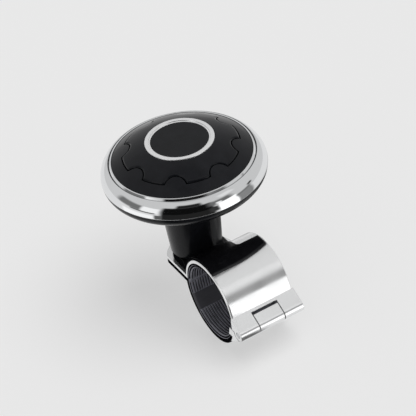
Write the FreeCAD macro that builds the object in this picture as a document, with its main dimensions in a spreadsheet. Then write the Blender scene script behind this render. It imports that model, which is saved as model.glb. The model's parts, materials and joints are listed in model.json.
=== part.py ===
import FreeCAD, Part
import math
import os
import Sketcher

# Steering wheel spinner knob: a hinged two-piece rim clamp, a black base that stands on the clamp's
# flange, and a domed round head that spins on a bolt in the base.
# Frame: origin at the centre of the rim bore, +Y along the bore, +X towards the clamp's hinge,
# +Z along the knob's spin axis.  All sizes are in millimetres.

SIZES = {
    # rim clamp
    "clamp_width": 27.7,        # along the rim
    "bore_r": 14.7,             # to the crests of the liner's ribs
    "liner_thick": 2.05,
    "rib_count": 12,
    "rib_gap": 0.9,             # groove between two ribs
    "rib_deep": 0.5,
    "liner_play": 0.05,         # liner to band
    "upper_thick": 1.3,
    "lower_thick": 1.15,
    "split_high": 1.25,         # underside of the upper flange above the bore's centre
    "flange_gap": 0.95,         # between the two flanges, filled by the gasket
    "gasket_play": 0.08,
    "lip_thick": 0.8,           # liner's lip over the ends of the lower band
    "lip_show": 0.1,            # edge of the lower band left bare beside the lip
    "root_lap": 0.8,            # how far a flange runs into its band
    "smooth_high": 5.2,         # plain strip of the lower liner, below the bore's centre
    "smooth_low": 10.9,
    # clamp hinge
    "hinge_reach": 21.9,
    "hinge_drop": 1.9,
    "knuckle_r": 2.7,
    "hinge_over": 0.7,          # hinge proud of the band at each end
    "knuckle_long": 11.2,       # middle knuckle, on the lower band
    "knuckle_play": 0.35,
    "small_edge": 0.35,         # bevels of the band, the pin and the screws
    "facet_high": 3.7,          # where the flat leaf of the hinge meets the band
    "slot_r": 5.85,             # round the pin, in the upper band
    "leaf_corner": 2.0,         # middle leaf's corner, measured back from the pin
    "lug_low": 9.6,             # where the lug meets the lower band
    "ear_in": 15.6,             # end plates of the lug, in front of the liner
    "ear_low": 6.0,
    "pin_r": 1.25,
    "pin_play": 0.05,
    # spin axis and base
    "spin_reach": 27.5,
    "spin_side": 2.35,
    "tongue_over": 2.0,         # flange ahead of the stem's foot
    "tongue_lead": 25.1,        # degrees from the near side to the flange's corner
    "collar_tall": 4.1,
    "collar_set": 0.55,         # collar set back from the stem's foot
    "saddle_thick": 1.1,
    "saddle_set": 0.15,         # near side set back from the band's end
    "saddle_end": 6.0,          # right edge of the saddle on the near side
    "tail_end": 3.5,            # right edge of the tail at the far side
    "tail_back": 2.4,           # left edge of the tail
    "tail_short": 1.05,         # band left bare beyond the tail
    "tail_start": 3.5,          # where the right edge starts to bend
    "shoulder_side": 3.1,       # far side of the wide part
    "shoulder_back": 9.2,
    "shoulder_round": 1.6,
    "waist_side": 1.0,          # far side of the narrow part behind the shoulder
    "stem_room": 0.6,
    "saddle_edge": 0.5,
    "post_r": 7.0,
    "post_tall": 7.4,
    # clamp screws
    "screw_ahead": 5.2,
    "screw_spread": 6.8,
    "screw_r": 1.6,
    "screw_room": 0.7,
    "screw_rise": 4.4,          # tip above the lower flange's top
    "screw_head_r": 3.1,
    "screw_head_tall": 2.4,
    "hex_flats": 2.6,
    "hex_deep": 1.4,
    "insert_wall": 0.5,
    "insert_long": 2.9,
    # spindle, bearing and nut
    "spindle_r": 3.0,
    "spindle_head_r": 5.6,
    "spindle_head_tall": 2.6,
    "fit_play": 0.05,
    "seat_z": 33.0,             # underside of the ball bearing
    "bearing_r": 8.5,
    "bearing_wide": 6.0,
    "pitch_r": 5.75,
    "ball_r": 1.75,
    "ball_play": 0.03,
    "race_land": 1.1,           # pitch circle to each race's shoulder
    "shield_thick": 0.3,
    "shield_in": 0.4,
    "cage_thick": 0.9,
    "cage_tall": 4.4,
    "cage_play": 0.07,
    "ball_count": 7,
    "spacer_r": 4.4,
    "bush_long": 6.0,
    "bush_low": 0.8,
    "washer_r": 6.0,
    "washer_thick": 1.0,
    "nut_flats": 10.0,
    "nut_tall": 5.0,
    "bolt_over": 1.5,
    "circlip_thick": 1.0,
    "circlip_in": 1.4,
    "circlip_groove": 0.6,
    # lower shell: cup and stem
    "stem_foot_r": 10.7,
    "stem_top_r": 12.45,
    "stem_top": 35.5,
    "spin_gap": 0.3,
    "seat_lip": 1.2,
    "seat_lip_tall": 1.5,
    "hub_r": 10.9,
    "hub_over": 3.2,
    "cup_wall": 2.0,
    "cup_low_in": 3.9,          # from the round side to the underside
    "cup_fall": 2.25,
    "cup_side_in": 2.8,         # from the chrome ring's foot to the end of the round side
    "cup_side": 11.3,           # below the rim plane
    "cup_round": 5.44,
    "cup_rise": 1.4,            # fall of the underside towards the stem
    "cup_neck": 1.3,
    "cup_step": 0.1,            # set back from the chrome ring's foot
    "spigot_wall": 1.95,
    "boss_r": 2.9,
    "boss_in": 4.2,             # from the gear cap's edge to the bosses' circle
    "boss_count": 4,
    # chrome ring, dome and emblem
    "rim_z": 52.1,              # plane where the dome meets the ring
    "ring_r": 33.2,
    "ring_wide": 5.15,          # across the ring, seen from above
    "ring_tube_r": 7.25,
    "ring_sink": 6.6,           # widest circle, below the rim plane
    "ring_bottom": 6.6,
    "ring_seat": 4.6,
    "ring_seat_in": 1.55,
    "ring_lip": 0.65,
    "ring_lip_up": 0.2,
    "ring_notch": 0.25,
    "ring_notch_deep": 0.3,
    "dome_rise": 8.8,
    "dish_thick": 2.1,
    "dish_skirt": 1.8,
    "cap_thick": 2.5,           # below the dome
    "cap_proud": 0.35,
    "cap_margin": 4.85,         # from the gear cap's lobes to the dome's edge
    "cap_gap": 0.4,
    "scallop_r": 4.8,
    "scallop_out": 1.5,         # scallops' circle outside the lobes
    "scallop_count": 8,
    "scallop_turn": 8.9,
    "flat_drop": 3.7,           # flat middle of the cap's underside, below the dome's top
    "recess_drop": 2.5,         # emblem recess, below the dome's top
    "emblem_r": 13.8,
    "emblem_wide": 2.2,
    "emblem_high": 1.25,
    "emblem_edge": 0.35,
    "emblem_disc_high": 0.8,
    "dish_screw_r": 1.0,
    "dish_screw_head_r": 2.0,
    "dish_screw_head_tall": 1.2,
    "dish_screw_long": 9.0,
    "dish_screw_sink": 2.4,
    "dish_boss_r": 2.3,
}


class Size:
    """A number kept with the sheet expression that gives it."""

    def __init__(self, value, text):
        self.value = value
        self.text = text

    def __add__(self, other):
        other = as_size(other)
        return Size(self.value + other.value, f"({self.text} + {other.text})")

    def __sub__(self, other):
        other = as_size(other)
        return Size(self.value - other.value, f"({self.text} - {other.text})")

    def __mul__(self, other):
        other = as_size(other)
        return Size(self.value * other.value, f"({self.text} * {other.text})")

    def __truediv__(self, other):
        other = as_size(other)
        return Size(self.value / other.value, f"({self.text} / {other.text})")

    def __neg__(self):
        return Size(-self.value, f"(0 - {self.text})")


def touch_point(centre, radius, point, side):
    """Where a line from a point touches a circle: side is 1 to the left of the way to the point."""
    dx = point[0] - centre[0]
    dy = point[1] - centre[1]
    square = dx * dx + dy * dy
    near = radius * radius / square
    across = radius * root(square - radius * radius) / square * side
    return (centre[0] + dx * near - dy * across, centre[1] + dy * near + dx * across)


def as_size(number):
    if isinstance(number, Size):
        return number
    return Size(float(number), repr(float(number)))


def root(number):
    return Size(math.sqrt(number.value), f"sqrt({number.text})")


def other_leg(long_side, short_side):
    """The third side of a right-angled triangle: where a circle stands at a given offset."""
    return root(long_side * long_side - short_side * short_side)


doc = FreeCAD.newDocument("spinner_knob")
sheet = doc.addObject("Spreadsheet::Sheet", "Sizes")
for row, (alias, number) in enumerate(SIZES.items(), start=1):
    sheet.set(f"A{row}", alias)
    sheet.set(f"B{row}", str(number))
    sheet.setAlias(f"B{row}", alias)
doc.recompute()


class Sizes:
    """The sheet's cells by name, as Size objects."""

    def __getattr__(self, alias):
        return Size(float(SIZES[alias]), f"Sizes.{alias}")


dim = Sizes()
ZERO = as_size(0)
pieces = {}


# Helpers for sketches and features

def bind(thing, prop, size):
    thing.setExpression(prop, as_size(size).text)


def origin_part(body, role):
    return [item for item in body.Origin.OriginFeatures if item.Role == role][0]


def new_body(name, place=None, turn=None):
    body = doc.addObject("PartDesign::Body", name)
    body.Label = name
    if place is not None:
        bind(body, "Placement.Base.x", place[0])
        bind(body, "Placement.Base.y", place[1])
    if turn is not None:
        bind(body, "Placement.Rotation.Angle", turn)
    return body


def new_sketch(body, name, plane, lift=None):
    sketch = body.newObject("Sketcher::SketchObject", name)
    sketch.AttachmentSupport = [(origin_part(body, plane), "")]
    sketch.MapMode = "FlatFace"
    if lift is not None:
        bind(sketch, "AttachmentOffset.Base.z", lift)
    return sketch


def fix_point(sketch, geometry, point, x, y):
    """Tie a sketch point to the origin by the sheet's sizes."""
    for size, kind, axis in ((x, "DistanceX", -2), (y, "DistanceY", -1)):
        if size.text == ZERO.text:
            sketch.addConstraint(Sketcher.Constraint("PointOnObject", geometry, point, axis))
        else:
            rule = Sketcher.Constraint(kind, -1, 1, geometry, point, size.value)
            bind(sketch, f"Constraints[{sketch.addConstraint(rule)}]", size)


def arc_between(start, end, radius):
    """The short arc between two corners: counter-clockwise where the radius is positive."""
    first, last = (start, end) if radius.value > 0 else (end, start)
    dx, dy = last[0] - first[0], last[1] - first[1]
    half = math.hypot(dx, dy) / 2
    rise = math.sqrt(max(radius.value ** 2 - half ** 2, 0)) / (2 * half)
    centre = ((first[0] + last[0]) / 2 - dy * rise, (first[1] + last[1]) / 2 + dx * rise)
    low = math.atan2(first[1] - centre[1], first[0] - centre[0])
    high = math.atan2(last[1] - centre[1], last[0] - centre[0])
    circle = Part.Circle(FreeCAD.Vector(*centre, 0), FreeCAD.Vector(0, 0, 1), abs(radius.value))
    return Part.ArcOfCircle(circle, low, high if high > low else high + 2 * math.pi)


def draw_outline(sketch, corners):
    """Close a loop of lines and arcs.  A corner is (x, y), or (x, y, radius) where the step that
    ends there is an arc: its radius is negative where the arc runs clockwise."""
    corners = [tuple(as_size(item) for item in corner) for corner in corners]
    joints = []
    for index, start in enumerate(corners):
        end = corners[(index + 1) % len(corners)]
        here, there = (start[0].value, start[1].value), (end[0].value, end[1].value)
        if len(end) == 2:
            line = Part.LineSegment(FreeCAD.Vector(*here, 0), FreeCAD.Vector(*there, 0))
            joints.append((sketch.addGeometry(line, False), 1, 2))
        else:
            edge = sketch.addGeometry(arc_between(here, there, end[2]), False)
            joints.append((edge, 1, 2) if end[2].value > 0 else (edge, 2, 1))
    for index, (edge, first, _) in enumerate(joints):
        before, _, last = joints[index - 1]
        sketch.addConstraint(Sketcher.Constraint("Coincident", before, last, edge, first))
        fix_point(sketch, edge, first, corners[index][0], corners[index][1])
    for index, (edge, _, _) in enumerate(joints):
        end = corners[(index + 1) % len(corners)]
        if len(end) == 3:
            size = end[2] if end[2].value > 0 else -end[2]
            rule = Sketcher.Constraint("Radius", edge, size.value)
            bind(sketch, f"Constraints[{sketch.addConstraint(rule)}]", size)


def draw_circle(sketch, x, y, radius):
    x, y, radius = as_size(x), as_size(y), as_size(radius)
    centre = FreeCAD.Vector(x.value, y.value, 0)
    circle = sketch.addGeometry(Part.Circle(centre, FreeCAD.Vector(0, 0, 1), radius.value), False)
    fix_point(sketch, circle, 3, x, y)
    rule = Sketcher.Constraint("Radius", circle, radius.value)
    bind(sketch, f"Constraints[{sketch.addConstraint(rule)}]", radius)


def extrude(body, kind, sketch, length=None, symmetric=False, reverse=False):
    feature = body.newObject(f"PartDesign::{kind}", sketch.Name + "_" + kind.lower())
    feature.Profile = sketch
    feature.SideType = "Symmetric" if symmetric else "One side"
    feature.Reversed = reverse
    if length is None:
        feature.Type = "ThroughAll"
    else:
        bind(feature, "Length", length)
    return feature


def spin(body, kind, sketch, axis="V_Axis", angle=None):
    feature = body.newObject(f"PartDesign::{kind}", sketch.Name + "_" + kind.lower())
    feature.Profile = sketch
    feature.ReferenceAxis = (sketch, [axis])
    feature.Angle = 360
    if angle is not None:
        bind(feature, "Angle", angle)
    return feature


def turned(name, corners, place, turn=None):
    """A body of revolution about an upright axis, from corners given as radius and height."""
    body = new_body(name, place, turn)
    sketch = new_sketch(body, name + "_section", "XZ_Plane")
    draw_outline(sketch, corners)
    spin(body, "Revolution", sketch)
    return body


def polar(body, feature, count):
    pattern = body.newObject("PartDesign::PolarPattern", feature.Name + "_pattern")
    pattern.Originals = [feature]
    pattern.Axis = (origin_part(body, "Z_Axis"), [""])
    pattern.Angle = 360
    bind(pattern, "Occurrences", count)
    body.Tip = pattern
    return pattern


def boolean(body, kind, tool):
    feature = body.newObject("PartDesign::Boolean", f"{tool.Name}_{kind.lower()}")
    feature.Type = kind
    feature.addObject(tool)
    return feature


def soften(body, kind, name, size, wanted):
    """Chamfer or fillet the edges of a body's last feature that answer a test."""
    doc.recompute()
    before = body.Tip
    names = [f"Edge{n}" for n, edge in enumerate(before.Shape.Edges, start=1) if wanted(edge)]
    feature = body.newObject(f"PartDesign::{kind}", name)
    feature.Base = (before, names)
    bind(feature, "Size" if kind == "Chamfer" else "Radius", size)


def near(first, second):
    return abs(first - as_size(second).value) < 1e-4


def is_arc(edge, radius):
    return hasattr(edge.Curve, "Radius") and near(edge.Curve.Radius, radius)


def is_at_side(edge, width):
    """Flat on one of the two planes that stand this far from the middle of the bore."""
    box = edge.BoundBox
    return box.YLength < 1e-4 and near(abs(box.YMin), width)


def all_points(edge, test):
    return all(test(vertex.Point) for vertex in edge.Vertexes)


def keep(node, thing):
    thing.Label = node
    pieces[node] = thing


def group(node, members):
    """Like pieces share one node: separate solids in one compound."""
    compound = doc.addObject("Part::Compound", node)
    compound.Links = members
    keep(node, compound)


# Shared places

half_width = dim.clamp_width / 2
band_in = dim.bore_r + dim.liner_thick + dim.liner_play
upper_out = band_in + dim.upper_thick
lower_out = band_in + dim.lower_thick
flange_top = dim.split_high + dim.upper_thick
lower_flange_top = dim.split_high - dim.flange_gap
lower_half = half_width - dim.lip_thick
spin_x = -dim.spin_reach
spin_y = -dim.spin_side
spin_axis = (spin_x, spin_y)
hinge_half = half_width + dim.hinge_over
foot_r = dim.stem_foot_r
collar_r = foot_r - dim.collar_set
tongue_r = foot_r + dim.tongue_over
tongue_root = -(band_in + dim.root_lap)
collar_top = flange_top + dim.collar_tall
stem_foot = collar_top + dim.spin_gap
post_top = collar_top + dim.post_tall
screw_x = spin_x + dim.screw_ahead
screw_places = [(screw_x, spin_y + dim.screw_spread * side) for side in (-1, 1)]
hinge_x = dim.hinge_reach
hinge_z = -dim.hinge_drop
slot_half = dim.knuckle_long / 2 + dim.knuckle_play

dome_edge_r = dim.ring_r - dim.ring_wide
ring_seat_r = dome_edge_r + dim.ring_seat_in
cap_r = dome_edge_r - dim.cap_margin
scallop_circle = cap_r + dim.scallop_out
boss_circle = cap_r - dim.boss_in
dome_r = (dome_edge_r * dome_edge_r + dim.dome_rise * dim.dome_rise) / (dim.dome_rise * 2)
dome_top = dim.rim_z + dim.dome_rise
dome_centre = dome_top - dome_r


def dome_height(radius, inset=ZERO):
    """Height of the dome, or of a sphere set in from it, at a distance from the spin axis."""
    return dome_centre + other_leg(dome_r - inset, radius)


def dome_reach(height, inset=ZERO):
    """Distance from the spin axis at which that sphere has a given height."""
    return other_leg(dome_r - inset, height - dome_centre)


# Hinge leaf: a flat that runs from the upper band to the roll round the pin

facet_start = (other_leg(upper_out, dim.facet_high), dim.facet_high)
facet_end = touch_point((hinge_x, hinge_z), dim.knuckle_r, facet_start, -1)
facet_slope = (facet_end[1] - facet_start[1]) / (facet_end[0] - facet_start[0])


def on_facet(x):
    return facet_start[1] + (x - facet_start[0]) * facet_slope


# Clamp bands

def tongue_corners(inset, root_x):
    """Plan of a flange: round about the spin axis at its end, straight at both sides."""
    edge = half_width - inset
    end_r = tongue_r - inset
    lead = math.radians(SIZES["tongue_lead"])
    across = Size(math.sin(lead), "sin(Sizes.tongue_lead * 1 deg)")
    along = Size(math.cos(lead), "cos(Sizes.tongue_lead * 1 deg)")
    near_corner = (spin_x - end_r * across, spin_y - end_r * along)
    far_corner = (-upper_out, edge)
    touch = touch_point(spin_axis, end_r, far_corner, 1)
    return [(root_x, -edge), near_corner, (spin_x - end_r, spin_y, -end_r),
            (touch[0], touch[1], -end_r), far_corner, (root_x, edge)]


def band_corners(outer_r, left_z, right_z, upward):
    """Half of a ring between two heights, one each side of the bore."""
    side = 1 if upward else -1
    top_in, top_out = band_in * side, outer_r * side
    return [(-other_leg(band_in, left_z), left_z), (ZERO, top_in, band_in * -side),
            (other_leg(band_in, right_z), right_z, band_in * -side),
            (other_leg(outer_r, right_z), right_z), (ZERO, top_out, outer_r * side),
            (-other_leg(outer_r, left_z), left_z, outer_r * side)]


def flange_holes(body, name, radius, low, high):
    sketch = new_sketch(body, name, "XY_Plane", high)
    for x, y in screw_places:
        draw_circle(sketch, x, y, radius)
    return extrude(body, "Pocket", sketch, high - low)


upper = new_body("upper_clamp")
section = new_sketch(upper, "upper_section", "XZ_Plane")
draw_outline(section, band_corners(upper_out, dim.split_high, hinge_z, True))
extrude(upper, "Pad", section, dim.clamp_width, symmetric=True)
soften(upper, "Chamfer", "upper_end_edges", dim.small_edge,
       lambda edge: is_at_side(edge, half_width) and is_arc(edge, upper_out))
leaf = new_sketch(upper, "upper_leaf", "XZ_Plane")
leaf_inside = band_in + dim.upper_thick / 2
draw_outline(leaf, [(leaf_inside, hinge_z), (hinge_x, hinge_z), facet_end, facet_start,
                    (leaf_inside, facet_start[1] - dim.knuckle_r)])
extrude(upper, "Pad", leaf, hinge_half * 2, symmetric=True)
roll = new_sketch(upper, "upper_roll", "XZ_Plane")
draw_circle(roll, hinge_x, hinge_z, dim.knuckle_r)
extrude(upper, "Pad", roll, hinge_half * 2, symmetric=True)
tongue = new_sketch(upper, "upper_tongue", "XY_Plane", dim.split_high)
draw_outline(tongue, tongue_corners(ZERO, tongue_root))
extrude(upper, "Pad", tongue, dim.upper_thick)
slot = new_sketch(upper, "hinge_slot", "XZ_Plane")
draw_circle(slot, hinge_x, hinge_z, dim.slot_r)
extrude(upper, "Pocket", slot, slot_half * 2, symmetric=True)
bore = new_sketch(upper, "upper_pin_bore", "XZ_Plane")
draw_circle(bore, hinge_x, hinge_z, dim.pin_r)
extrude(upper, "Pocket", bore, hinge_half * 4, symmetric=True)
flange_holes(upper, "upper_screw_holes", dim.screw_r + dim.screw_room, dim.split_high, flange_top)
spindle_cut = new_sketch(upper, "upper_spindle_hole", "XY_Plane", flange_top)
draw_circle(spindle_cut, spin_x, spin_y, dim.spindle_r + dim.fit_play)
extrude(upper, "Pocket", spindle_cut, dim.upper_thick)


def countersink(body, name, low):
    """Seat of the spindle's cone, from the flange's underside up."""
    cone = body.newObject("PartDesign::SubtractiveCone", name)
    bind(cone, "Placement.Base.x", spin_x)
    bind(cone, "Placement.Base.y", spin_y)
    bind(cone, "Placement.Base.z", low)
    bind(cone, "Radius1", dim.spindle_head_r + dim.fit_play)
    bind(cone, "Radius2", dim.spindle_r + dim.fit_play)
    bind(cone, "Height", dim.spindle_head_tall)


countersink(upper, "upper_countersink", dim.split_high)
keep("upper_clamp", upper)

lower = new_body("lower_clamp")
section = new_sketch(lower, "lower_section", "XZ_Plane")
lower_right = hinge_z - dim.knuckle_play
draw_outline(section, band_corners(lower_out, lower_flange_top, lower_right, False))
extrude(lower, "Pad", section, lower_half * 2, symmetric=True)
lug = new_sketch(lower, "lower_lug", "XZ_Plane")
lug_top = (other_leg(lower_out, lower_right), lower_right)
lug_foot = (other_leg(lower_out, dim.lug_low), -dim.lug_low)
lug_tip = (hinge_x + dim.pin_r, hinge_z - other_leg(dim.knuckle_r, dim.pin_r))
draw_outline(lug, [(hinge_x, lower_right), (lug_top[0], lug_top[1]),
                   (lug_foot[0], lug_foot[1], -lower_out), lug_tip])
extrude(lower, "Pad", lug, hinge_half * 2, symmetric=True)


def ear_corners(inner, play):
    """End plate of the lug: it closes the liner's end beside the hinge."""
    low = dim.ear_low + play
    return [(other_leg(inner, lower_right), lower_right),
            (other_leg(inner, low), -low, -inner), (other_leg(lower_out, low), -low),
            (other_leg(lower_out, lower_right), lower_right, lower_out)]


for side in (1, -1):
    ear = new_sketch(lower, "near_ear" if side > 0 else "far_ear", "XZ_Plane", lower_half * side)
    draw_outline(ear, ear_corners(dim.ear_in, ZERO))
    extrude(lower, "Pad", ear, hinge_half - lower_half, reverse=side < 0)
clear = new_sketch(lower, "outer_knuckle_room", "XZ_Plane")
draw_circle(clear, hinge_x, hinge_z, dim.knuckle_r + dim.knuckle_play)
extrude(lower, "Pocket", clear, hinge_half * 4, symmetric=True)
leaf = new_sketch(lower, "lower_leaf", "XZ_Plane")
corner_x = hinge_x - dim.leaf_corner
draw_outline(leaf, [lug_top, (corner_x, on_facet(corner_x)), facet_end, (hinge_x, hinge_z),
                    lug_tip, lug_foot])
extrude(lower, "Pad", leaf, dim.knuckle_long, symmetric=True)
roll = new_sketch(lower, "lower_roll", "XZ_Plane")
draw_circle(roll, hinge_x, hinge_z, dim.knuckle_r)
extrude(lower, "Pad", roll, dim.knuckle_long, symmetric=True)
tongue = new_sketch(lower, "lower_tongue", "XY_Plane", lower_flange_top - dim.lower_thick)
draw_outline(tongue, tongue_corners(dim.lip_thick, tongue_root))
extrude(lower, "Pad", tongue, dim.lower_thick)
bore = new_sketch(lower, "lower_pin_bore", "XZ_Plane")
draw_circle(bore, hinge_x, hinge_z, dim.pin_r + dim.pin_play)
extrude(lower, "Pocket", bore, dim.knuckle_long * 2, symmetric=True)
flange_holes(lower, "lower_screw_holes", dim.screw_r + dim.fit_play,
             lower_flange_top - dim.lower_thick, lower_flange_top)
keep("lower_clamp", lower)

pin_edge = dim.pin_r - dim.small_edge / 2
pin_end = hinge_half - dim.small_edge / 2
pin = turned("hinge_pin", [
    (ZERO, -hinge_half), (pin_edge, -hinge_half), (dim.pin_r, -pin_end), (dim.pin_r, pin_end),
    (pin_edge, hinge_half), (ZERO, hinge_half)], place=None)
pin.Placement = FreeCAD.Placement(FreeCAD.Vector(), FreeCAD.Rotation(FreeCAD.Vector(1, 0, 0), -90))
bind(pin, "Placement.Base.x", hinge_x)
bind(pin, "Placement.Base.z", hinge_z)
keep("hinge_pin", pin)


# Rubber liners with ribs that run round the rim

def liner_corners(outer_r, left_z, right_z, upward):
    side = 1 if upward else -1
    inner = dim.bore_r
    return [(-other_leg(inner, left_z), left_z), (ZERO, inner * side, inner * -side),
            (other_leg(inner, right_z), right_z, inner * -side),
            (other_leg(outer_r, right_z), right_z), (ZERO, outer_r * side, outer_r * side),
            (-other_leg(outer_r, left_z), left_z, outer_r * side)]


def rib_grooves(body, name):
    """Grooves between the ribs: one turned cut, repeated along the bore."""
    sketch = new_sketch(body, name, "XY_Plane")
    pitch = dim.clamp_width / dim.rib_count
    start = -half_width + pitch - dim.rib_gap / 2
    inside = dim.bore_r - dim.rib_deep
    outside = dim.bore_r + dim.rib_deep
    draw_outline(sketch, [(inside, start), (outside, start),
                          (outside, start + dim.rib_gap), (inside, start + dim.rib_gap)])
    groove = spin(body, "Groove", sketch)
    pattern = body.newObject("PartDesign::LinearPattern", name + "_pattern")
    pattern.Originals = [groove]
    pattern.Direction = (origin_part(body, "Y_Axis"), [""])
    pattern.Mode = "Spacing"
    bind(pattern, "Offset", pitch)
    bind(pattern, "Occurrences", dim.rib_count - 1)
    body.Tip = pattern


upper_liner = new_body("upper_liner")
section = new_sketch(upper_liner, "upper_liner_section", "XZ_Plane")
liner_out = dim.bore_r + dim.liner_thick
draw_outline(section, liner_corners(liner_out, dim.split_high, dim.split_high, True))
extrude(upper_liner, "Pad", section, dim.clamp_width, symmetric=True)
rib_grooves(upper_liner, "upper_rib_groove")
keep("upper_liner", upper_liner)

lower_liner = new_body("lower_liner")
flange_low = lower_flange_top - dim.lower_thick
lip = new_sketch(lower_liner, "flange_lip", "XY_Plane", flange_low)
draw_outline(lip, tongue_corners(ZERO, tongue_root))
extrude(lower_liner, "Pad", lip, dim.lower_thick)
seat = new_sketch(lower_liner, "flange_seat", "XY_Plane", lower_flange_top)
draw_outline(seat, tongue_corners(dim.lip_thick, tongue_root + dim.root_lap))
extrude(lower_liner, "Pocket", seat, dim.lower_thick)
gasket = new_sketch(lower_liner, "gasket", "XY_Plane", lower_flange_top)
draw_outline(gasket, tongue_corners(ZERO, -other_leg(dim.bore_r, dim.split_high)))
extrude(lower_liner, "Pad", gasket, dim.flange_gap - dim.gasket_play)
for side in (1, -1):
    name = "near_lip" if side > 0 else "far_lip"
    lip = new_sketch(lower_liner, name, "XZ_Plane", lower_half * side)
    lip_out = lower_out - dim.lip_show
    draw_outline(lip, liner_corners(lip_out, lower_flange_top, lower_right, False))
    extrude(lower_liner, "Pad", lip, dim.lip_thick, reverse=side < 0)
section = new_sketch(lower_liner, "lower_liner_section", "XZ_Plane")
draw_outline(section, liner_corners(liner_out, lower_flange_top, lower_right, False))
extrude(lower_liner, "Pad", section, dim.clamp_width, symmetric=True)
for side in (1, -1):
    name = "near_ear_seat" if side > 0 else "far_ear_seat"
    seat = new_sketch(lower_liner, name, "XZ_Plane", (lower_half - dim.liner_play) * side)
    draw_outline(seat, ear_corners(dim.ear_in - dim.liner_play, dim.liner_play))
    extrude(lower_liner, "Pocket", seat, dim.lip_thick * 2, reverse=side > 0)
strip = new_sketch(lower_liner, "plain_strip", "XZ_Plane")
strip_out = dim.bore_r + dim.rib_deep
strip_in = dim.bore_r - dim.rib_deep
draw_outline(strip, [
    (-other_leg(strip_out, dim.smooth_high), -dim.smooth_high),
    (-other_leg(strip_out, dim.smooth_low), -dim.smooth_low, strip_out),
    (-other_leg(strip_in, dim.smooth_low), -dim.smooth_low),
    (-other_leg(strip_in, dim.smooth_high), -dim.smooth_high)])
extrude(lower_liner, "Pocket", strip, dim.clamp_width * 2, symmetric=True)
flange_holes(lower_liner, "gasket_holes", dim.screw_r + dim.fit_play, lower_flange_top,
             dim.split_high)
rib_grooves(lower_liner, "lower_rib_groove")
keep("lower_liner", lower_liner)


# Base: a collar and saddle in one, with the post that the knob's stem turns on

base = new_body("clamp_base")
outline = new_sketch(base, "saddle_plan", "XY_Plane", flange_top)
near_edge = -(half_width - dim.saddle_set)
tail_tip = half_width - dim.tail_short
bend_x = dim.saddle_end - dim.tail_end
bend_y = tail_tip + dim.tail_start
tail_sweep = (bend_x * bend_x + bend_y * bend_y) / (bend_x * 2)
waist_x = dim.shoulder_back + dim.shoulder_round
draw_outline(outline, [
    (spin_x, spin_y - collar_r), (screw_x + dim.saddle_thick, spin_y - collar_r),
    (-(band_in + dim.root_lap), near_edge), (dim.saddle_end, near_edge),
    (dim.saddle_end, -dim.tail_start), (dim.tail_end, tail_tip, tail_sweep),
    (-dim.tail_back, tail_tip), (-dim.tail_back, dim.shoulder_side + dim.shoulder_round),
    (-(dim.tail_back + dim.shoulder_round), dim.shoulder_side, -dim.shoulder_round),
    (-(dim.shoulder_back - dim.shoulder_round), dim.shoulder_side),
    (-dim.shoulder_back, dim.shoulder_side - dim.shoulder_round, dim.shoulder_round),
    (-waist_x, dim.waist_side), (-(band_in + dim.root_lap), dim.waist_side),
    (-(band_in + dim.root_lap), spin_y + foot_r), (screw_x - dim.screw_r, spin_y + foot_r),
    (spin_x, spin_y + collar_r)])
extrude(base, "Pad", outline, upper_out + dim.saddle_thick)
side_view = new_body("saddle_side")
section = new_sketch(side_view, "saddle_section", "XZ_Plane")
saddle_in = upper_out + dim.fit_play
saddle_out = saddle_in + dim.saddle_thick
draw_outline(section, [
    (spin_x - foot_r, flange_top), (dim.saddle_end + dim.saddle_thick, flange_top),
    (dim.saddle_end + dim.saddle_thick, other_leg(saddle_out, dim.saddle_end + dim.saddle_thick)),
    (-other_leg(saddle_out, collar_top), collar_top, saddle_out),
    (spin_x - foot_r, collar_top)])
extrude(side_view, "Pad", section, dim.clamp_width * 2, symmetric=True)
boolean(base, "Common", side_view)
room = new_sketch(base, "stem_room", "XY_Plane", collar_top)
stem_slope = (dim.stem_top_r - foot_r) / (dim.stem_top - stem_foot)
room_r = foot_r + stem_slope * (saddle_out - stem_foot) + dim.stem_room
draw_circle(room, spin_x, spin_y, room_r)
extrude(base, "Pocket", room, saddle_out, reverse=True)
collar = new_sketch(base, "collar", "XY_Plane", flange_top)
draw_circle(collar, spin_x, spin_y, collar_r)
extrude(base, "Pad", collar, dim.collar_tall)
band_room = new_sketch(base, "band_room", "XZ_Plane")
draw_circle(band_room, ZERO, ZERO, saddle_in)
extrude(base, "Pocket", band_room, dim.clamp_width * 2, symmetric=True)
post = new_sketch(base, "post", "XY_Plane", flange_top)
draw_circle(post, spin_x, spin_y, dim.post_r)
extrude(base, "Pad", post, post_top - flange_top)
bore = new_sketch(base, "base_spindle_hole", "XY_Plane", post_top)
draw_circle(bore, spin_x, spin_y, dim.spindle_r + dim.fit_play)
extrude(base, "Pocket", bore, post_top)
countersink(base, "base_countersink", dim.split_high)
insert_r = dim.screw_r + dim.screw_room + dim.insert_wall
flange_holes(base, "insert_holes", insert_r, flange_top, flange_top + dim.insert_long)


def is_saddle_rim(edge):
    """An edge of the saddle's outer round, clear of the collar."""
    def outside(spot):
        return near(math.hypot(spot.x, spot.z), saddle_out) and spot.z > collar_top.value * 2
    return all_points(edge, outside)


soften(base, "Fillet", "saddle_rim", dim.saddle_edge, is_saddle_rim)
keep("clamp_base", base)


# Fasteners of the clamp and the spindle

def hex_pocket(body, name, flats, deep, low):
    """A hexagon socket from below."""
    sketch = new_sketch(body, name, "XY_Plane", low)
    side = flats / math.sqrt(3)
    draw_outline(sketch, [(ZERO, -side), (flats / 2, -side / 2), (flats / 2, side / 2),
                          (ZERO, side), (-flats / 2, side / 2), (-flats / 2, -side / 2)])
    extrude(body, "Pocket", sketch, deep, reverse=True)


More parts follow.
